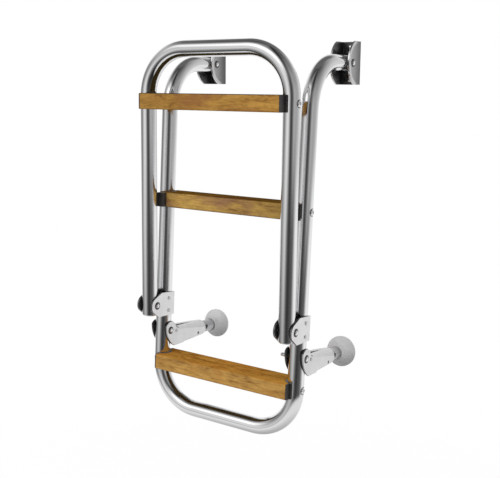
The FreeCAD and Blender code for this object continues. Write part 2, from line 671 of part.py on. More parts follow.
# Checks and export
bad = 0
for obj in doc.Objects:
    if "Invalid" in obj.State or "Error" in obj.State:
        print("BAD STATE", obj.Name, obj.Label, obj.State)
        bad += 1
for obj in nodes:
    shape = obj.Shape
    if shape.isNull() or not shape.isValid() or len(shape.Solids) != 1:
        print("BAD SHAPE", obj.Label, shape.isNull(), len(shape.Solids))
        bad += 1
if bad:
    raise SystemExit("shapes need mending")
for obj in nodes:
    obj.Shape.exportStep("parts/" + obj.Label + ".step")
    b = obj.Shape.BoundBox
    line = "%-22s vol %9.0f  x %7.1f %7.1f  y %7.1f %7.1f  z %7.1f %7.1f"
    print(line % (obj.Label, obj.Shape.Volume, b.XMin, b.XMax, b.YMin, b.YMax, b.ZMin, b.ZMax))
print(len(nodes), "nodes")
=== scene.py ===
import json
import math

import bmesh
import bpy
from mathutils import Matrix, Vector


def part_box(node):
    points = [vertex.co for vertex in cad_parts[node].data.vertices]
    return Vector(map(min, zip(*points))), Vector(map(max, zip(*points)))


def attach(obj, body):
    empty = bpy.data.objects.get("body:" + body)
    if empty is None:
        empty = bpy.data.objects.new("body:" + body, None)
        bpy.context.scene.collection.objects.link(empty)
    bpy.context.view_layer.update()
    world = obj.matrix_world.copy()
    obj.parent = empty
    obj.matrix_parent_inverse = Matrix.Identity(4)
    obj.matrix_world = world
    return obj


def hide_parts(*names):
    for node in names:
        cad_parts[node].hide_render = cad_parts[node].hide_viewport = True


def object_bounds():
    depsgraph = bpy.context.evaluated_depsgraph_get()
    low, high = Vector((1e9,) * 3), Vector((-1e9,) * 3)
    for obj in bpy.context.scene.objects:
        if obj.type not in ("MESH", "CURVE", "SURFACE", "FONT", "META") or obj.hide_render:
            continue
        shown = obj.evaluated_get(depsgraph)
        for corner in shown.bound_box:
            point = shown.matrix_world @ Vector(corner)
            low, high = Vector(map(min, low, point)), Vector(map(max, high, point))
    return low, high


# Folding transom boarding ladder with three wooden steps
# Metres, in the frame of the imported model: X across, Y towards the hull, Z up
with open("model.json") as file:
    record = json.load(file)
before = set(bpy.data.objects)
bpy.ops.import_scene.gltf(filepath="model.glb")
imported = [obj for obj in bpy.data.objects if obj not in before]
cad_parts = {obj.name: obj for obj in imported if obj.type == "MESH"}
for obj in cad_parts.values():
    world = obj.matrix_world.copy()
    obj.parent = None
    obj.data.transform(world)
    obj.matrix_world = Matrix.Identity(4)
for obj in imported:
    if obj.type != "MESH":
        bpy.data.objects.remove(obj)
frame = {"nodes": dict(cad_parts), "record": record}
cad_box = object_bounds()
scene = bpy.context.scene

SIDES = ("left", "right")
LEVELS = ("top", "middle", "bottom")
# The two ends of a piece that lies across, and the way that each looks along X
ENDS = (("a", -1), ("b", 1))

# Camera of the photograph
PHOTO_W = 500
PHOTO_H = 478
FOCAL_PX = 776.8
CENTRE_PX = (233.1, 217.5)
SENSOR = 36.0
CLIP = (0.05, 50.0)
CAM_AZIMUTH = math.radians(32.4)
CAM_PITCH = math.radians(9.85)
CAM_ROLL = math.radians(0.21)
CAM_PLACE = Vector((0.7604, -1.1496, -0.0304))


def make_camera():
    data = bpy.data.cameras.new("camera")
    data.sensor_width = SENSOR
    data.lens = FOCAL_PX / PHOTO_W * SENSOR
    data.shift_x = (PHOTO_W / 2 - CENTRE_PX[0]) / PHOTO_W
    data.shift_y = (CENTRE_PX[1] - PHOTO_H / 2) / PHOTO_W
    data.clip_start, data.clip_end = CLIP
    cam = bpy.data.objects.new("camera", data)
    scene.collection.objects.link(cam)
    sin_a, cos_a = math.sin(CAM_AZIMUTH), math.cos(CAM_AZIMUTH)
    sin_p, cos_p = math.sin(CAM_PITCH), math.cos(CAM_PITCH)
    ahead = Vector((-sin_a * cos_p, cos_a * cos_p, -sin_p))
    right = Vector((cos_a, sin_a, 0.0))
    up = right.cross(ahead)
    turned_right = right * math.cos(CAM_ROLL) + up * math.sin(CAM_ROLL)
    turned_up = up * math.cos(CAM_ROLL) - right * math.sin(CAM_ROLL)
    axes = Matrix((turned_right, turned_up, -ahead)).transposed()
    cam.matrix_world = Matrix.Translation(CAM_PLACE) @ axes.to_4x4()
    scene.camera = cam


# Small helpers for node trees
WHITE = (1.0, 1.0, 1.0)
EVEN = (1.0, 1.0, 1.0)


def add(tree, kind, **values):
    node = tree.nodes.new(kind)
    for key, value in values.items():
        setattr(node, key, value)
    return node


def link(tree, source, target):
    tree.links.new(source, target)


def fresh(name):
    mat = bpy.data.materials.new(name)
    mat.use_nodes = True
    tree = mat.node_tree
    return mat, tree, tree.nodes["Principled BSDF"]


def mapped(tree, scale=EVEN, turn=(0.0, 0.0, 0.0), shift=(0.0, 0.0, 0.0)):
    coords = add(tree, "ShaderNodeTexCoord")
    mapping = add(tree, "ShaderNodeMapping")
    mapping.inputs["Scale"].default_value = scale
    mapping.inputs["Rotation"].default_value = turn
    mapping.inputs["Location"].default_value = shift
    link(tree, coords.outputs["Object"], mapping.inputs["Vector"])
    return mapping.outputs["Vector"]


def noise(tree, vector, scale=1.0, detail=4.0, rough=0.55, distortion=0.0):
    node = add(tree, "ShaderNodeTexNoise")
    node.inputs["Scale"].default_value = scale
    node.inputs["Detail"].default_value = detail
    node.inputs["Roughness"].default_value = rough
    node.inputs["Distortion"].default_value = distortion
    link(tree, vector, node.inputs["Vector"])
    return node.outputs["Fac"]


def ramp(tree, fac, stops, smooth="LINEAR"):
    node = add(tree, "ShaderNodeValToRGB")
    node.color_ramp.interpolation = smooth
    bar = node.color_ramp.elements
    while len(bar) < len(stops):
        bar.new(0.5)
    for element, (place, colour) in zip(bar, stops):
        element.position = place
        if not isinstance(colour, tuple):
            colour = (colour, colour, colour)
        element.color = (*colour, 1.0)
    link(tree, fac, node.inputs["Fac"])
    return node.outputs["Color"]


def maths(tree, operation, a, b=None):
    node = add(tree, "ShaderNodeMath", operation=operation)
    for socket, value in zip(node.inputs, (a, b)):
        if value is None:
            continue
        if isinstance(value, (int, float)):
            socket.default_value = value
        else:
            link(tree, value, socket)
    return node.outputs[0]


# Sum of several values, each times its own weight
def weighed(tree, *pairs):
    parts = [maths(tree, "MULTIPLY", value, weight) for value, weight in pairs]
    total = parts[0]
    for part in parts[1:]:
        total = maths(tree, "ADD", total, part)
    return total


def mix_colour(tree, fac, a, b, blend="MIX"):
    node = add(tree, "ShaderNodeMix", data_type="RGBA", blend_type=blend)
    for socket, value in ((node.inputs[0], fac), (node.inputs[6], a), (node.inputs[7], b)):
        if isinstance(value, (int, float)):
            socket.default_value = value
        elif isinstance(value, tuple):
            socket.default_value = (*value, 1.0)
        else:
            link(tree, value, socket)
    return node.outputs[2]


def times(tree, base, factor, strength=1.0):
    return mix_colour(tree, strength, base, factor, "MULTIPLY")


def tinted(tint, part):
    return tuple(c * part for c in tint)


def mid_tint(one, two, part):
    return tuple(a + (b - a) * part for a, b in zip(one, two))


# One axis of the object's own place, of its normal, or of its place in its box from 0 to 1
def axis_of(tree, output, axis):
    coords = add(tree, "ShaderNodeTexCoord")
    axes = add(tree, "ShaderNodeSeparateXYZ")
    link(tree, coords.outputs[output], axes.inputs[0])
    return axes.outputs[axis]


# Normal rounded over the edges of the mesh
def rounded(tree, radius, samples=6):
    soft = add(tree, "ShaderNodeBevel", samples=samples)
    soft.inputs["Radius"].default_value = radius
    return soft.outputs["Normal"]


def bump(tree, shader, height, distance, strength=1.0, edge=0.0):
    node = add(tree, "ShaderNodeBump")
    if edge:
        link(tree, rounded(tree, edge), node.inputs["Normal"])
    node.inputs["Distance"].default_value = distance
    node.inputs["Strength"].default_value = strength
    link(tree, height, node.inputs["Height"])
    link(tree, node.outputs["Normal"], shader.inputs["Normal"])


# How far a spot is from an edge, from 0 on the edge to 1 on the face
def edge_mask(tree, radius, low, high):
    soft = rounded(tree, radius, samples=8)
    shape = add(tree, "ShaderNodeNewGeometry")
    turned = add(tree, "ShaderNodeVectorMath", operation="DOT_PRODUCT")
    link(tree, soft, turned.inputs[0])
    link(tree, shape.outputs["True Normal"], turned.inputs[1])
    return ramp(tree, turned.outputs["Value"], [(low, 0.0), (high, 1.0)])


def fresh_metal(name):
    mat, tree, shader = fresh(name)
    shader.inputs["Metallic"].default_value = 1.0
    return mat, tree, shader


# Polished stainless tube: clear reflections with faint polishing marks
TUBE_TINT = (0.78, 0.78, 0.79)


def polished_steel(name, grain_scale):
    mat, tree, shader = fresh_metal(name)
    shader.inputs["Base Color"].default_value = (*TUBE_TINT, 1.0)
    marks = noise(tree, mapped(tree, grain_scale), detail=5.0, rough=0.6)
    haze = noise(tree, mapped(tree), 28.0, detail=3.0, rough=0.5)
    both = weighed(tree, (marks, 0.5), (haze, 0.5))
    link(tree, ramp(tree, both, [(0.35, 0.075), (0.65, 0.15)]), shader.inputs["Roughness"])
    bump(tree, shader, marks, 0.00002, 0.35)
    return mat


# Rolled stainless of bolts, screws and rivets
def bright_steel(name, tint, rough):
    mat, tree, shader = fresh_metal(name)
    haze = noise(tree, mapped(tree), 240.0, detail=3.0, rough=0.5)
    base = ramp(tree, haze, [(0.3, tint), (0.7, tinted(tint, 0.92))])
    link(tree, base, shader.inputs["Base Color"])
    link(tree, ramp(tree, haze, [(0.35, rough[0]), (0.65, rough[1])]), shader.inputs["Roughness"])
    return mat


# Cut edges of a plate that stands across X: painted shade, darker than its two faces
def sheet_rim_shade(tree, level):
    across = axis_of(tree, "Normal", "X")
    return ramp(tree, maths(tree, "ABSOLUTE", across), [(0.45, level), (0.75, 1.0)])


# Front edges of a fork: painted shade, darkest on the cheek at low X
HIGH_X_RIM_SHADE = 0.6


def fork_rim_shade(tree, level):
    along = axis_of(tree, "Normal", "Y")
    # Painted shade, deeper on the cheek at low X than on the one at high X
    cheek_shade = ramp(tree, axis_of(tree, "Generated", "X"), [(0.45, level), (0.55, HIGH_X_RIM_SHADE)])
    facing = maths(tree, "ADD", maths(tree, "MULTIPLY", along, 0.5), 0.5)
    return mix_colour(tree, ramp(tree, facing, [(0.33, 1.0), (0.43, 0.0)]), WHITE, cheek_shade)


# Satin stainless with a fine even grain along X; the rim, when given, paints shade on its edges
SHEET_EDGE = 0.0006
SHEET_GRAIN = (90.0, 900.0, 900.0)


def satin_steel(name, tint, rough, grain_depth, rim=None, rim_shade_level=1.0):
    mat, tree, shader = fresh_metal(name)
    grain = noise(tree, mapped(tree, SHEET_GRAIN), rough=0.6)
    cloud = noise(tree, mapped(tree), 60.0, detail=3.0, rough=0.5)
    base = ramp(tree, cloud, [(0.3, tint), (0.7, tinted(tint, 0.93))])
    if rim:
        # Painted shade on the edges
        base = times(tree, base, rim(tree, rim_shade_level))
    link(tree, base, shader.inputs["Base Color"])
    link(tree, ramp(tree, grain, [(0.3, rough[0]), (0.7, rough[1])]), shader.inputs["Roughness"])
    bump(tree, shader, grain, grain_depth, 0.4, SHEET_EDGE)
    return mat


# Pressed bracket: a painted highlight as a bright band along the round front edge, painted shade
# darker towards the hull and between the ears; the object's own origin is on the hull face, level
# with the cross bolt
EAR_CENTRE_Y = 0.009
EAR_RADIUS = 0.036
RIM_HIGHLIGHT_TINT = (0.72, 0.72, 0.73)
HULL_FACE_SHADE_TINT = (0.45, 0.45, 0.46)
INSIDE_ROUGH = 0.36
BRACKET_EDGE = 0.0010


def bracket_steel(name):
    mat, tree, shader = fresh_metal(name)
    along, up = axis_of(tree, "Object", "Y"), axis_of(tree, "Object", "Z")
    deep = maths(tree, "POWER", maths(tree, "ADD", along, EAR_CENTRE_Y), 2.0)
    reach = maths(tree, "SQRT", maths(tree, "ADD", deep, maths(tree, "POWER", up, 2.0)))
    reach = maths(tree, "DIVIDE", reach, EAR_RADIUS)
    front = maths(tree, "MULTIPLY", along, -1.0 / (EAR_CENTRE_Y + EAR_RADIUS))
    # Painted shade, darker towards the hull
    face = ramp(tree, front, [(0.0, 0.10), (0.25, 0.18), (0.60, 0.36), (1.0, 0.55)])
    # Painted highlight along the round front edge
    near_rim = ramp(tree, reach, [(0.83, 0.0), (0.89, 1.0)])
    rim_highlight = maths(tree, "MULTIPLY", near_rim, ramp(tree, front, [(0.30, 0.0), (0.50, 1.0)]))
    outside = mix_colour(tree, rim_highlight, face, RIM_HIGHLIGHT_TINT)
    # Painted shade between the ears
    inside_shade = ramp(tree, front, [(0.10, 0.14), (0.32, 0.16), (0.55, 0.34), (0.97, 0.70)])
    box_x = axis_of(tree, "Generated", "X")
    off_middle = maths(tree, "ABSOLUTE", maths(tree, "SUBTRACT", box_x, 0.5))
    outer = ramp(tree, off_middle, [(0.418, 0.0), (0.44, 1.0)])
    base = mix_colour(tree, outer, inside_shade, outside)
    # Painted shade on the faces that look towards the hull
    hull_face_shade = ramp(tree, axis_of(tree, "Normal", "Y"), [(0.6, 0.0), (0.9, 1.0)])
    base = mix_colour(tree, hull_face_shade, base, HULL_FACE_SHADE_TINT)
    cloud = noise(tree, mapped(tree), 110.0, detail=3.0, rough=0.5)
    base = times(tree, base, ramp(tree, cloud, [(0.3, 1.0), (0.7, 0.86)]))
    link(tree, base, shader.inputs["Base Color"])
    rough = maths(tree, "MULTIPLY", maths(tree, "SUBTRACT", 1.0, outer), INSIDE_ROUGH)
    rough = maths(tree, "MAXIMUM", ramp(tree, cloud, [(0.3, 0.16), (0.7, 0.24)]), rough)
    link(tree, rough, shader.inputs["Roughness"])
    link(tree, rounded(tree, BRACKET_EDGE), shader.inputs["Normal"])
    return mat


# Painted shade on the underside of a tread in use
UNDERSIDE_SHADE_TINT = (0.15, 0.21, 0.42)
GRAIN_SLANT = (0.0, 0.10, 0.12)
FLAME_SLANT = (0.0, 0.30, 0.25)
ARRIS_REACH = 0.0022
ARRIS_SHADE_LEVEL = 0.30
STEP_EDGE = 0.0009


# Oiled golden timber: figured patches, slanting flames and streaks along X, fibres, and dark
# arrises of painted shade. The level of its upper and lower face, painted shade, is a share of the
# front's, and so are the levels at its two ends; under is 1 where the underside in use, which gets
# painted shade, looks up at rest, and -1 where it looks down
def timber(name, shift, light, deep, blush_tint, flat_face_shade, end_levels, under):
    mat, tree, shader = fresh(name)
    patch_map = mapped(tree, (24.0, 60.0, 75.0), GRAIN_SLANT, shift)
    patch = noise(tree, patch_map, detail=3.0, rough=0.6, distortion=1.4)
    flame_map = mapped(tree, (38.0, 190.0, 230.0), FLAME_SLANT, shift)
    flame = noise(tree, flame_map, rough=0.6, distortion=2.2)
    streak_map = mapped(tree, (9.0, 210.0, 260.0), GRAIN_SLANT, shift)
    streak = noise(tree, streak_map, rough=0.62, distortion=0.8)
    fibre_map = mapped(tree, (34.0, 900.0, 1100.0), GRAIN_SLANT, shift)
    fibre = noise(tree, fibre_map, detail=5.0, rough=0.7)
    pore_map = mapped(tree, (60.0, 1500.0, 1500.0), GRAIN_SLANT, shift)
    pores = noise(tree, pore_map, detail=2.0, rough=0.5)
    tone = weighed(tree, (patch, 0.40), (flame, 0.30), (streak, 0.26), (fibre, 0.12))
    low_mid, high_mid = mid_tint(deep, light, 0.40), mid_tint(deep, light, 0.72)
    base = ramp(tree, tone, [(0.40, deep), (0.49, low_mid), (0.57, high_mid), (0.68, light)])
    blush_map = mapped(tree, (16.0, 26.0, 26.0), GRAIN_SLANT, shift)
    blush = noise(tree, blush_map, detail=3.0, rough=0.5, distortion=0.6)
    base = mix_colour(tree, ramp(tree, blush, [(0.52, 0.0), (0.70, 0.75)]), base, blush_tint)
    base = times(tree, base, ramp(tree, pores, [(0.30, 0.62), (0.42, 1.0)]), 0.45)
    up = axis_of(tree, "Normal", "Z")
    flat = maths(tree, "ABSOLUTE", up)
    # Painted shade on the upper and lower faces
    base = times(tree, base, ramp(tree, flat, [(0.4, 1.0), (0.9, flat_face_shade)]))
    # Painted shade on the underside in use
    underside_shade_mask = maths(tree, "MULTIPLY", up, under)
    base = times(tree, base, ramp(tree, underside_shade_mask, [(0.4, 1.0), (0.9, UNDERSIDE_SHADE_TINT)]))
    ends = [(0.0, end_levels[0]), (1.0, end_levels[1])]
    base = times(tree, base, ramp(tree, axis_of(tree, "Generated", "X"), ends))
    # Painted shade along the arrises
    arris_shade = ramp(tree, edge_mask(tree, ARRIS_REACH, 0.70, 0.96), [(0.0, ARRIS_SHADE_LEVEL), (1.0, 1.0)])
    base = times(tree, base, arris_shade, 0.85)
    link(tree, base, shader.inputs["Base Color"])
    link(tree, ramp(tree, fibre, [(0.3, 0.36), (0.7, 0.52)]), shader.inputs["Roughness"])
    sheen = ramp(tree, flat, [(0.4, 0.12), (0.9, 0.0)])
    link(tree, sheen, shader.inputs["Specular IOR Level"])
    bump(tree, shader, fibre, 0.00008, 0.5, STEP_EDGE)
    return mat


# Moulded plastic with a fine leathery grain; a level below 1 paints shade on it, low down and
# towards high X
def plastic(name, low_tint, high_tint, rough, grain_scale, low_shade=1.0):
    mat, tree, shader = fresh(name)
    spots = noise(tree, mapped(tree), grain_scale, rough=0.6)
    cloud = noise(tree, mapped(tree), 40.0, detail=3.0, rough=0.5)
    base = ramp(tree, cloud, [(0.3, low_tint), (0.7, high_tint)])
    if low_shade < 1.0:
        # Painted shade, darker low down and towards high X
        up, across = axis_of(tree, "Generated", "Z"), axis_of(tree, "Generated", "X")
        part = weighed(tree, (up, 0.75), (across, -0.25))
        base = times(tree, base, ramp(tree, part, [(0.0, low_shade), (0.62, 1.0)]))
    link(tree, base, shader.inputs["Base Color"])
    link(tree, ramp(tree, spots, [(0.3, rough[0]), (0.7, rough[1])]), shader.inputs["Roughness"])
    bump(tree, shader, spots, 0.00004, 0.5)
    return mat


TUBE = polished_steel("polished_steel", grain_scale=(260.0, 260.0, 14.0))
FASTENER = bright_steel("fastener_steel", tint=(0.88, 0.88, 0.89), rough=(0.16, 0.24))
PLATE = satin_steel("satin_steel", tint=(0.78, 0.77, 0.78), rough=(0.30, 0.42),
                    grain_depth=0.00003, rim=sheet_rim_shade, rim_shade_level=0.22)
ARM = satin_steel("arm_steel", tint=(0.74, 0.735, 0.74), rough=(0.34, 0.46),
                  grain_depth=0.00003, rim=fork_rim_shade, rim_shade_level=0.12)
BRACKET = bracket_steel("rolled_steel")
RIVET = bright_steel("rivet_steel", tint=(0.52, 0.52, 0.53), rough=(0.28, 0.40))
STEM = satin_steel("drawn_steel", tint=(0.42, 0.42, 0.43), rough=(0.20, 0.30),
                   grain_depth=0.00001)
BLACK = plastic("black_plastic", (0.018, 0.017, 0.017), (0.035, 0.030, 0.028),
                rough=(0.34, 0.50), grain_scale=900.0)
PAD = plastic("pad_plastic", (0.53, 0.525, 0.53), (0.59, 0.585, 0.59),
              rough=(0.42, 0.58), grain_scale=700.0, low_shade=0.56)
WOOD = {
    "top_step": timber(
        "timber_top", shift=(0.0, 0.0, 0.0), light=(0.50, 0.275, 0.060),
        deep=(0.165, 0.064, 0.011), blush_tint=(0.26, 0.105, 0.034),
        flat_face_shade=(0.8, 0.75, 0.6), end_levels=(0.80, 1.0), under=1.0),
    "middle_step": timber(
        "timber_middle", shift=(1.7, 3.1, 0.4), light=(0.58, 0.36, 0.09),
        deep=(0.17, 0.075, 0.022), blush_tint=(0.25, 0.120, 0.072),
        flat_face_shade=(0.36, 0.30, 0.20), end_levels=(1.0, 0.72), under=-1.0),
    "bottom_step": timber(
        "timber_bottom", shift=(3.9, 1.2, 2.3), light=(0.54, 0.310, 0.080),
        deep=(0.170, 0.070, 0.012), blush_tint=(0.36, 0.155, 0.030),
        flat_face_shade=(1.0, 0.86, 0.62), end_levels=(1.0, 1.0), under=-1.0),
}
BY_SLOT = {"tube": TUBE, "plate": PLATE, "fastener": FASTENER, "saddle": BLACK, "pad": PAD}
BY_ENDING = {"_bracket": BRACKET, "_stem": STEM, "_rivet": RIVET, "_stop_pin": RIVET, "_arm": ARM}


def dress_frame():
    slots = {item["node"]: item["material_slot"] for item in frame["record"]["subparts"]}
    for name, obj in frame["nodes"].items():
        mat = WOOD[name] if name in WOOD else BY_SLOT[slots[name]]
        for ending, special in BY_ENDING.items():
            if name.endswith(ending):
                mat = special
        if not obj.material_slots:
            obj.data.materials.append(mat)
        for slot in obj.material_slots:
            slot.material = mat


# Room that the metal mirrors: its level by azimuth from the camera in degrees, above eye height
ROOM_HIGH = [
    (-180, 1.0), (-142, 1.0), (-126, 0.32), (-98, 0.28), (-78, 0.62), (-58, 1.0),
    (-44, 1.0), (-30, 0.60), (-15, 0.12), (0, 0.055), (15, 0.22), (30, 0.48),
    (60, 0.43), (80, 0.48), (98, 0.60), (122, 0.76), (142, 1.0), (180, 1.0)]
# The same below eye height
ROOM_LOW = [
    (-180, 1.0), (-142, 1.0), (-124, 0.28), (-98, 0.44), (-78, 0.72), (-60, 0.88),
    (-44, 0.55), (-29, 0.19), (-14, 0.07), (0, 0.058), (20, 0.085), (45, 0.12),
    (60, 0.36), (78, 0.88), (98, 1.05), (122, 0.95), (142, 1.0), (180, 1.0)]
# From the lower list to the upper one, by height above eye level in degrees
EYE_BLEND = [(-11, 0.0), (-2, 1.0)]
# How the level goes with that height, to the left of the camera, to the right and at the back
LEFT_TALL = [
    (-90, 0.12), (-50, 0.08), (-34, 0.12), (-20, 0.50), (-8, 0.90), (6, 0.85),
    (15, 1.00), (23, 1.70), (34, 1.85), (46, 0.95), (58, 0.30), (90, 0.14)]
RIGHT_TALL = [
    (-90, 0.30), (-50, 0.50), (-30, 0.90), (-15, 1.0), (8, 1.0), (30, 0.80),
    (50, 0.50), (70, 0.22), (90, 0.14)]
BACK_TALL = [(-90, 1.0), (24, 1.0), (44, 0.14), (90, 0.14)]
# Where by azimuth the right and the back take over
RIGHT_PART = [(-180, 0.0), (-8, 0.0), (24, 1.0), (180, 1.0)]
BACK_PART = [(-180, 1.0), (-140, 1.0), (-124, 0.0), (124, 0.0), (140, 1.0), (180, 1.0)]
# Strength of the even light that falls on everything
ROOM_LIGHT = 0.72


def spread(stops, low, high):
    return [((angle - low) / (high - low), level) for angle, level in stops]


def by_azimuth(tree, part, stops, smooth="LINEAR"):
    return ramp(tree, part, spread(stops, -180, 180), smooth)


def by_height(tree, height, stops, smooth="LINEAR"):
    return ramp(tree, height, spread(stops, -90, 90), smooth)


def background(tree, colour, strength):
    node = add(tree, "ShaderNodeBackground")
    node.inputs["Strength"].default_value = strength
    if isinstance(colour, tuple):
        node.inputs["Color"].default_value = (*colour, 1.0)
    else:
        link(tree, colour, node.inputs["Color"])
    return node.outputs[0]


def mix_shader(tree, fac, one, two):
    node = add(tree, "ShaderNodeMixShader")
    for socket, source in zip(node.inputs, (fac, one, two)):
        link(tree, source, socket)
    return node.outputs[0]


def make_world():
    world = bpy.data.worlds.new("room")
    scene.world = world
    world.use_nodes = True
    tree = world.node_tree
    tree.nodes.clear()
    coords = add(tree, "ShaderNodeTexCoord")
    axes = add(tree, "ShaderNodeSeparateXYZ")
    link(tree, coords.outputs["Generated"], axes.inputs[0])
    turn = maths(tree, "ARCTAN2", axes.outputs["Y"], axes.outputs["X"])
    turn = maths(tree, "ADD", turn, math.pi / 2 - CAM_AZIMUTH + math.pi)
    part = maths(tree, "FRACT", maths(tree, "DIVIDE", turn, 2 * math.pi))
    height = maths(tree, "ARCSINE", axes.outputs["Z"])
    height = maths(tree, "ADD", maths(tree, "DIVIDE", height, math.pi), 0.5)
    high = by_azimuth(tree, part, ROOM_HIGH, "EASE")
    low = by_azimuth(tree, part, ROOM_LOW, "EASE")
    ring = mix_colour(tree, by_height(tree, height, EYE_BLEND, "EASE"), low, high)
    left = by_height(tree, height, LEFT_TALL, "EASE")
    right = by_height(tree, height, RIGHT_TALL, "EASE")
    tall = mix_colour(tree, by_azimuth(tree, part, RIGHT_PART), left, right)
    back = by_height(tree, height, BACK_TALL)
    tall = mix_colour(tree, by_azimuth(tree, part, BACK_PART), tall, back)
    room = background(tree, times(tree, ring, tall), 1.0)
    light = background(tree, WHITE, ROOM_LIGHT)
    backdrop = background(tree, WHITE, 1.0)
    rays = add(tree, "ShaderNodeLightPath")
    lit = mix_shader(tree, rays.outputs["Is Glossy Ray"], light, room)
    through = rays.outputs["Is Transmission Ray"]
    seen = maths(tree, "MAXIMUM", rays.outputs["Is Camera Ray"], through)
    out = add(tree, "ShaderNodeOutputWorld")
    link(tree, mix_shader(tree, seen, lit, backdrop), out.inputs["Surface"])


# Two soft lamps that aim near the middle of the ladder and don't show in the polish
LAMP_AIM = Vector((0.12, -0.15, -0.3))


def make_lamp(name, place, size, power):
    data = bpy.data.lights.new(name, "AREA")
    data.shape = "RECTANGLE"
    data.size, data.size_y = size
    data.energy = power
    lamp = bpy.data.objects.new(name, data)
    scene.collection.objects.link(lamp)
    lamp.location = place
    lamp.rotation_euler = (LAMP_AIM - Vector(place)).to_track_quat("-Z", "Y").to_euler()
    lamp.visible_glossy = False
    lamp.visible_camera = False


# Round pale floor, low enough for the unfolded ladder. It fades into the backdrop and keeps a
# faint shadow
FLOOR_DROP = 0.29
FLOOR_RADIUS = 1.3
FLOOR_TINT = (0.93, 0.93, 0.93)
FLOOR_ROUGH = 0.9
FLOOR_FADE = [(0.0, 0.80), (0.22, 0.82), (0.60, 1.0)]
# Pale card lying on the floor, which only shows in the polish of the metal, with a painted shadow
# that darkens its middle: its levels by distance from its middle as a share of its radius, and how
# far out it is full
CARD_DROP = 0.289
CARD_RADIUS = 1.10
CARD_FULL = 0.75
CARD_SHADOW_LEVELS = [(0.0, 0.46), (0.15, 0.58), (0.42, 0.88)]
CARD_FADE = [(CARD_FULL / CARD_RADIUS, 0.0), (1.0, 1.0)]
DISC_CORNERS = 96


# A disc below the ladder, its node tree, and the distance from its middle as a share of its radius
def stage_disc(name, drop, radius):
    middle = (cad_box[0] + cad_box[1]) / 2
    place = (middle.x, middle.y, cad_box[0].z - drop)
    bpy.ops.mesh.primitive_circle_add(
        vertices=DISC_CORNERS, radius=radius, fill_type="NGON", location=place)
    disc = bpy.context.object
    disc.name = name
    mat, tree = fresh(name + "_paper")[:2]
    disc.data.materials.append(mat)
    coords = add(tree, "ShaderNodeTexCoord")
    reach = add(tree, "ShaderNodeVectorMath", operation="LENGTH")
    link(tree, coords.outputs["Object"], reach.inputs[0])
    return disc, tree, maths(tree, "DIVIDE", reach.outputs["Value"], radius)


def make_floor():
    floor, tree, out = stage_disc("floor", FLOOR_DROP, FLOOR_RADIUS)
    floor.visible_glossy = False
    shader = tree.nodes["Principled BSDF"]
    shader.inputs["Base Color"].default_value = (*FLOOR_TINT, 1.0)
    shader.inputs["Roughness"].default_value = FLOOR_ROUGH
    rays = add(tree, "ShaderNodeLightPath")
    white = add(tree, "ShaderNodeEmission")
    part = maths(tree, "MULTIPLY", rays.outputs["Is Camera Ray"], ramp(tree, out, FLOOR_FADE))
    seen = mix_shader(tree, part, shader.outputs[0], white.outputs[0])
    link(tree, seen, tree.nodes["Material Output"].inputs["Surface"])


def make_card():
    card, tree, out = stage_disc("card", CARD_DROP, CARD_RADIUS)
    card.visible_camera = False
    card.visible_diffuse = False
    card.visible_transmission = False
    card.visible_shadow = False
    paper = add(tree, "ShaderNodeEmission")
    # Painted shadow, darker towards the middle
    link(tree, ramp(tree, out, CARD_SHADOW_LEVELS), paper.inputs["Color"])
    clear = add(tree, "ShaderNodeBsdfTransparent")
    away = ramp(tree, out, CARD_FADE, "EASE")
    glow = mix_shader(tree, away, paper.outputs[0], clear.outputs[0])
    link(tree, glow, tree.nodes["Material Output"].inputs["Surface"])


def middle_of(node):
    low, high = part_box(node)
    return (Vector(low) + Vector(high)) / 2


def width_of(node):
    low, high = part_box(node)
    return high[0] - low[0]


def body_of(node):
    for body, members in frame["record"]["behaviour"]["bodies"].items():
        if node in members:
            return body
    raise ValueError(node)


def finished_object(name, work, mat):
    bmesh.ops.recalc_face_normals(work, faces=work.faces)
    mesh = bpy.data.meshes.new(name)
    work.to_mesh(mesh)
    work.free()
    mesh.materials.append(mat)
    obj = bpy.data.objects.new(name, mesh)
    scene.collection.objects.link(obj)
    return obj


# Turned pieces: outlines of distance along X and radius, in metres, spun about X
ROUND = 40
ON_AXIS = 1e-7
SHARP = math.radians(38)


def quarter(seat, rise, rad, steps=8):
    angles = [math.pi / 2 * k / steps for k in range(steps + 1)]
    return [(seat + rise * math.sin(a), rad * math.cos(a)) for a in angles]


def spun(name, outline, centre, mat):
    work = bmesh.new()
    turns = [2 * math.pi * k / ROUND for k in range(ROUND)]
    rings = []
    for along, rad in outline:
        if rad < ON_AXIS:
            rings.append([work.verts.new((along, 0.0, 0.0))])
            continue
        places = [(along, rad * math.cos(t), rad * math.sin(t)) for t in turns]
        rings.append([work.verts.new(place) for place in places])
    for one, two in zip(rings, rings[1:]):
        for k in range(ROUND):
            after = k + 1
            corners = [one[k % len(one)], one[after % len(one)]]
            corners += [two[after % len(two)], two[k % len(two)]]
            corners = list(dict.fromkeys(corners))
            if len(corners) > 2:
                work.faces.new(corners)
    for face in work.faces:
        face.smooth = True
    obj = finished_object(name, work, mat)
    obj.data.set_sharp_from_angle(angle=SHARP)
    obj.location = centre
    return obj


# The part's plain bolt heads stand this high, and its brackets are this thick
BOLT_HEAD_H = 0.0026
BRACKET_T = 0.0028
# Thin black rings of painted shade under the domed heads
SHADE_RING_T = 0.0006
SHADE_RING_EDGE = 0.0002
SHADE_RING_TOP_EDGE = 0.0003
SHADE_RING_DISH = 0.0001


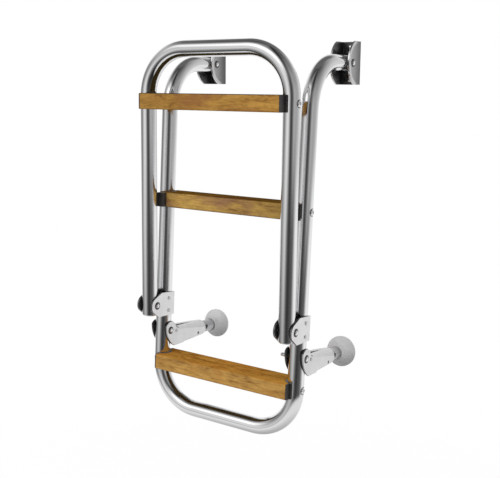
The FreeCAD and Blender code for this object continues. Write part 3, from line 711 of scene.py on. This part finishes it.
# A thin black ring of painted shade under a bolt head
def shade_ring_piece(name, centre, sign, seat, inner, outer, body):
    top = seat + SHADE_RING_T
    ring = [(seat, inner), (seat, outer - SHADE_RING_EDGE), (seat + SHADE_RING_EDGE, outer)]
    ring += [(top - SHADE_RING_EDGE, outer), (top, outer - SHADE_RING_TOP_EDGE)]
    ring += [(top - SHADE_RING_DISH, inner), (seat, inner)]
    piece = spun(name, [(sign * a, r) for a, r in ring], centre, BLACK)
    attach(piece, body)


# Cross bolts: domed heads on thin black rings of painted shade, at both ends
DOME_RAD = 0.0037
DOME_RISE = 0.0019
SHADE_RING_RAD = 0.0062
SHANK_RAD = 0.0039


def dress_cross_bolt(node):
    centre = middle_of(node)
    seat = width_of(node) / 2 - BOLT_HEAD_H
    half = [(seat, SHANK_RAD), (seat, DOME_RAD)]
    half += quarter(seat + SHADE_RING_T, DOME_RISE, DOME_RAD)
    outline = [(-a, r) for a, r in reversed(half)] + half
    piece = spun(node + "_domed", outline, centre, FASTENER)
    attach(piece, body_of(node))
    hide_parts(node)
    for end, sign in ENDS:
        name = f"{node}_shade_ring_{end}"
        shade_ring_piece(name, centre, sign, seat, DOME_RAD, SHADE_RING_RAD, body_of(node))


# Threaded end of the right arm's bolt, standing out behind the far cheek
THREAD_TURNS = 12
THREAD_PITCH = 0.0008
THREAD_CREST = 0.0029
THREAD_ROOT = 0.0026
THREAD_NECK = 0.0027
THREAD_TIP = 0.0024
THREAD_LEN = 0.0106


def bolt_end():
    start = width_of("right_arm_bolt") / 2 - BOLT_HEAD_H + SHADE_RING_T
    outline = [(-start, 0.0), (-start, THREAD_NECK)]
    for k in range(THREAD_TURNS):
        turn = -start - THREAD_PITCH * k
        outline += [(turn - THREAD_PITCH / 2, THREAD_CREST), (turn - THREAD_PITCH, THREAD_ROOT)]
    outline += [(-start - THREAD_LEN, THREAD_TIP), (-start - THREAD_LEN, 0.0)]
    piece = spun("right_arm_bolt_end", outline, middle_of("right_arm_bolt"), FASTENER)
    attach(piece, body_of("right_arm_bolt"))


# Step bolts: a domed head with a driving socket, outside the rail
STEP_SHANK = 0.0025
STEP_TIP = 0.0022
STEP_CHAMFER = 0.0006
STEP_HEAD = 0.0050
STEP_DOME = 0.0022
STEP_SEAT = 0.0046
HEAD_RIM = 0.0004
STEP_SOCKET = 0.0024
# The socket's own outline: height above the seat, and radius
STEP_SOCKET_CUT = [(0.0023, 0.0023), (0.0007, 0.0020), (0.0005, 0.0)]
STEP_SHADE_RING = (0.0048, 0.0058)
STEP_SHADE_RING_SINK = 0.0002


def dress_step_bolt(node, outward):
    centre, half = middle_of(node), width_of(node) / 2
    seat = half - BOLT_HEAD_H
    rim = seat + HEAD_RIM
    outline = [(-half, 0.0), (-half, STEP_TIP), (-half + STEP_CHAMFER, STEP_SHANK)]
    outline += [(seat, STEP_SHANK), (seat, STEP_SEAT), (rim, STEP_HEAD)]
    outline += [(a, r) for a, r in quarter(rim, STEP_DOME, STEP_HEAD, 9) if r > STEP_SOCKET]
    outline += [(seat + a, r) for a, r in STEP_SOCKET_CUT]
    piece = spun(node + "_domed", [(outward * a, r) for a, r in outline], centre, FASTENER)
    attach(piece, body_of(node))
    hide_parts(node)
    # A black ring of painted shade under the head
    low_seat = seat - STEP_SHADE_RING_SINK
    shade_ring_piece(node + "_shade_ring", centre, outward, low_seat, *STEP_SHADE_RING, body_of(node))


# Screws that hold a bracket to the hull, seen between its ears
SCREW_HEIGHT = 0.023
SCREW_SHANK = 0.0031
SCREW_HEAD = 0.0057
SCREW_SEAT = 0.0055
SCREW_DOME = 0.0028
SCREW_SOCKET = 0.0017
SCREW_SOCKET_CUT = [(0.0032, 0.0015), (0.0014, 0.0012), (0.0012, 0.0)]


def bracket_screw(side, height):
    centre = middle_of(side + "_bracket")
    outline = [(-BRACKET_T, 0.0), (-BRACKET_T, SCREW_SHANK), (0.0, SCREW_SHANK), (0.0, SCREW_SEAT)]
    dome = quarter(HEAD_RIM, SCREW_DOME, SCREW_HEAD)
    outline += [(a, r) for a, r in dome if r > SCREW_SOCKET]
    outline += SCREW_SOCKET_CUT
    place = Vector((centre.x, -BRACKET_T, centre.z + height))
    piece = spun(f"{side}_hull_screw_{'high' if height > 0 else 'low'}", outline, place, FASTENER)
    piece.rotation_euler = (0.0, 0.0, -math.pi / 2)
    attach(piece, "hull_brackets")


def dress_fasteners():
    for side in SIDES:
        for kind in ("fold_bolt", "arm_bolt", "bracket_bolt"):
            dress_cross_bolt(f"{side}_{kind}")
        for level in LEVELS:
            dress_step_bolt(f"{level}_{side}_bolt", -1 if side == "left" else 1)
        for height in (SCREW_HEIGHT, -SCREW_HEIGHT):
            bracket_screw(side, height)


# Thin slab between two places along X, from an outline of Y and Z
def slab(name, outline, near, far, mat):
    work = bmesh.new()
    low = [work.verts.new((near, y, z)) for y, z in outline]
    high = [work.verts.new((far, y, z)) for y, z in outline]
    work.faces.new(low)
    work.faces.new(high)
    for k in range(len(outline)):
        after = (k + 1) % len(outline)
        work.faces.new([low[k], low[after], high[after], high[k]])
    return finished_object(name, work, mat)


# Black sheets of painted shade inside the hinge plates, about the fold bolt, with a round nose; they
# lean as the rear rails do
LEAN = math.radians(3.9)
NOSE_RAD = 0.0131
NOSE_START = 26
NOSE_SWEEP = 102
NOSE_STEPS = 12
NOSE_ANGLES = [math.radians(NOSE_START + NOSE_SWEEP * k / NOSE_STEPS) for k in range(NOSE_STEPS + 1)]
PLATE_SHADE_SHEET = [(0.0220, 0.0182), (0.0110, 0.0190)]
PLATE_SHADE_SHEET += [(-NOSE_RAD * math.sin(a), NOSE_RAD * math.cos(a)) for a in NOSE_ANGLES]
PLATE_SHADE_SHEET += [(0.0046, -0.0190), (0.0220, -0.0200)]
PLATE_SHADE_SHEET_X = (0.01244, 0.01264)

# Black sheets of painted shade inside the fork cheeks, in the arm's own frame, which is tilted about
# its bolt
TILTS = {"left": math.radians(6.8), "right": math.radians(8.8)}
LOBE_RAD = 0.0145
LOBE_REAR = math.radians(18)
LOBE_FRONT = math.radians(34)
LOBE_STEPS = 12
CHEEK_BULGE = 0.0059
BULGE_GROWTH = 0.6
CHEEK_TOE = (0.0125, -0.0273)
CHEEK_HEEL = (0.0125, -0.010)
FORK_SHADE_SHEET_X = (0.01290, 0.01315)
# How far the sheet of painted shade stands out past the cheek's round front, at each end
FORK_MARGINS = {"a": 0.0004, "b": 0.0009}
# Plugs at the holes of arm and stem: name, radius, X from and to, along the arm, up from the
# bolt. Their rims are cut back along X and in radius
PLUGS = (
    ("lock", 0.0026, 0.0129, 0.01374, 0.0838, -0.0170),
    ("eye", 0.0031, 0.0088, 0.01050, 0.1150, -0.0108))
PLUG_RIM = (0.0002, 0.0003)


def cheek_outline(margin):
    sweep = math.pi - LOBE_FRONT - LOBE_REAR
    turns = [LOBE_REAR + sweep * k / LOBE_STEPS for k in range(LOBE_STEPS + 1)]
    rad = LOBE_RAD + margin
    lobe = [(rad * math.cos(t), rad * math.sin(t)) for t in turns]
    start = Vector(lobe[-1])
    chord = Vector(CHEEK_TOE) - start
    outward = Vector((chord.y, -chord.x)).normalized()
    if outward.x > 0:
        outward = -outward
    bulge = CHEEK_BULGE + margin * BULGE_GROWTH
    swept = []
    for k in range(1, LOBE_STEPS):
        part = k / LOBE_STEPS
        swept.append(tuple(start + chord * part + outward * bulge * 4 * part * (1 - part)))
    return lobe + swept + [CHEEK_TOE, CHEEK_HEEL]


def hinge_shade_sheets(side):
    for end, sign in ENDS:
        near, far = (sign * x for x in PLATE_SHADE_SHEET_X)
        piece = slab(f"{side}_hinge_shade_sheet_{end}", PLATE_SHADE_SHEET, near, far, BLACK)
        piece.location = middle_of(f"{side}_fold_bolt")
        piece.rotation_euler = (-LEAN, 0.0, 0.0)
        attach(piece, "upper_section")


def fork_shade_sheets(side):
    for end, sign in ENDS:
        near, far = (sign * x for x in FORK_SHADE_SHEET_X)
        outline = cheek_outline(FORK_MARGINS[end])
        piece = slab(f"{side}_fork_shade_sheet_{end}", outline, near, far, BLACK)
        piece.location = middle_of(f"{side}_arm_bolt")
        piece.rotation_euler = (-TILTS[side], 0.0, 0.0)
        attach(piece, f"{side}_arm_set")


def hole_plugs(side):
    turn = Matrix.Rotation(-TILTS[side], 3, "X")
    for which, rad, near, far, along, up in PLUGS:
        place = middle_of(f"{side}_arm_bolt") + turn @ Vector((0.0, along, up))
        half = [(near, 0.0), (near, rad), (far - PLUG_RIM[0], rad)]
        half += [(far, rad - PLUG_RIM[1]), (far, 0.0)]
        for end, sign in ENDS:
            outline = [(sign * a, r) for a, r in half]
            piece = spun(f"{side}_{which}_plug_{end}", outline, place, BLACK)
            piece.rotation_euler = (-TILTS[side], 0.0, 0.0)
            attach(piece, f"{side}_arm_set")


def dress_gaps():
    for side in SIDES:
        hinge_shade_sheets(side)
        fork_shade_sheets(side)
        hole_plugs(side)


make_camera()
make_world()
make_lamp("key", (-0.9, -1.6, 1.1), size=(1.4, 1.4), power=22.0)
make_lamp("fill", (1.7, -0.4, 0.5), size=(1.2, 1.6), power=12.0)
make_floor()
make_card()
dress_frame()
dress_fasteners()
bolt_end()
dress_gaps()

scene.view_settings.view_transform = "Standard"
